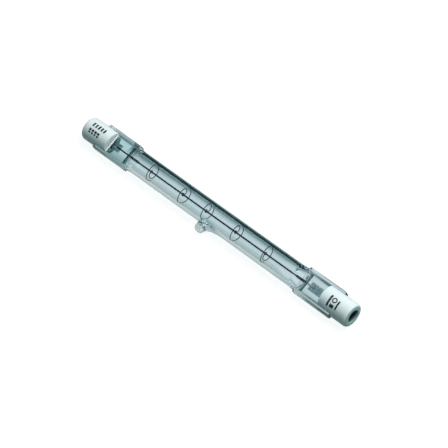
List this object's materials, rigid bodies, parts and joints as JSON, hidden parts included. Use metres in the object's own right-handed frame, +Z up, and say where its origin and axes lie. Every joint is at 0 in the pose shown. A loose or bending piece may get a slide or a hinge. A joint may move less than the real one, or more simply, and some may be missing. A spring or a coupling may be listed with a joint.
{
  "type": "linear halogen bulb",
  "caption": "Clear quartz tube lamp with pinch seals, an exhaust tip, an axial coil on spiral supports and a recessed contact in a ceramic cap at each end.",
  "frame": {"origin": "the light centre: on the axis of the tube, midway between the outer faces of the two caps", "axes": "+X along the tube to the right-hand cap, +Z up with the bulb lying on its caps and exhaust tip, the tip on the -Y side"},
  "size_m": [0.1176, 0.0115, 0.0082],
  "materials": {
    "quartz": "clear, fire polished",
    "ceramic": "satin, unglazed",
    "cement": "matt",
    "contact_metal": "dull nickel",
    "molybdenum": "satin",
    "tungsten": "dark drawn wire"
  },
  "bodies": {
    "root": {"quartz_envelope": "quartz", "left_end_cap": "ceramic", "right_end_cap": "ceramic", "left_cement": "cement", "right_cement": "cement", "left_contact": "contact_metal", "right_contact": "contact_metal", "left_foil": "molybdenum", "right_foil": "molybdenum", "left_inner_lead": "molybdenum", "right_inner_lead": "molybdenum", "left_outer_lead": "molybdenum", "right_outer_lead": "molybdenum", "filament": "tungsten", "filament_support_1": "tungsten", "filament_support_2": "tungsten", "filament_support_3": "tungsten", "filament_support_4": "tungsten", "filament_support_5": "tungsten"}
  },
  "joints": []
}
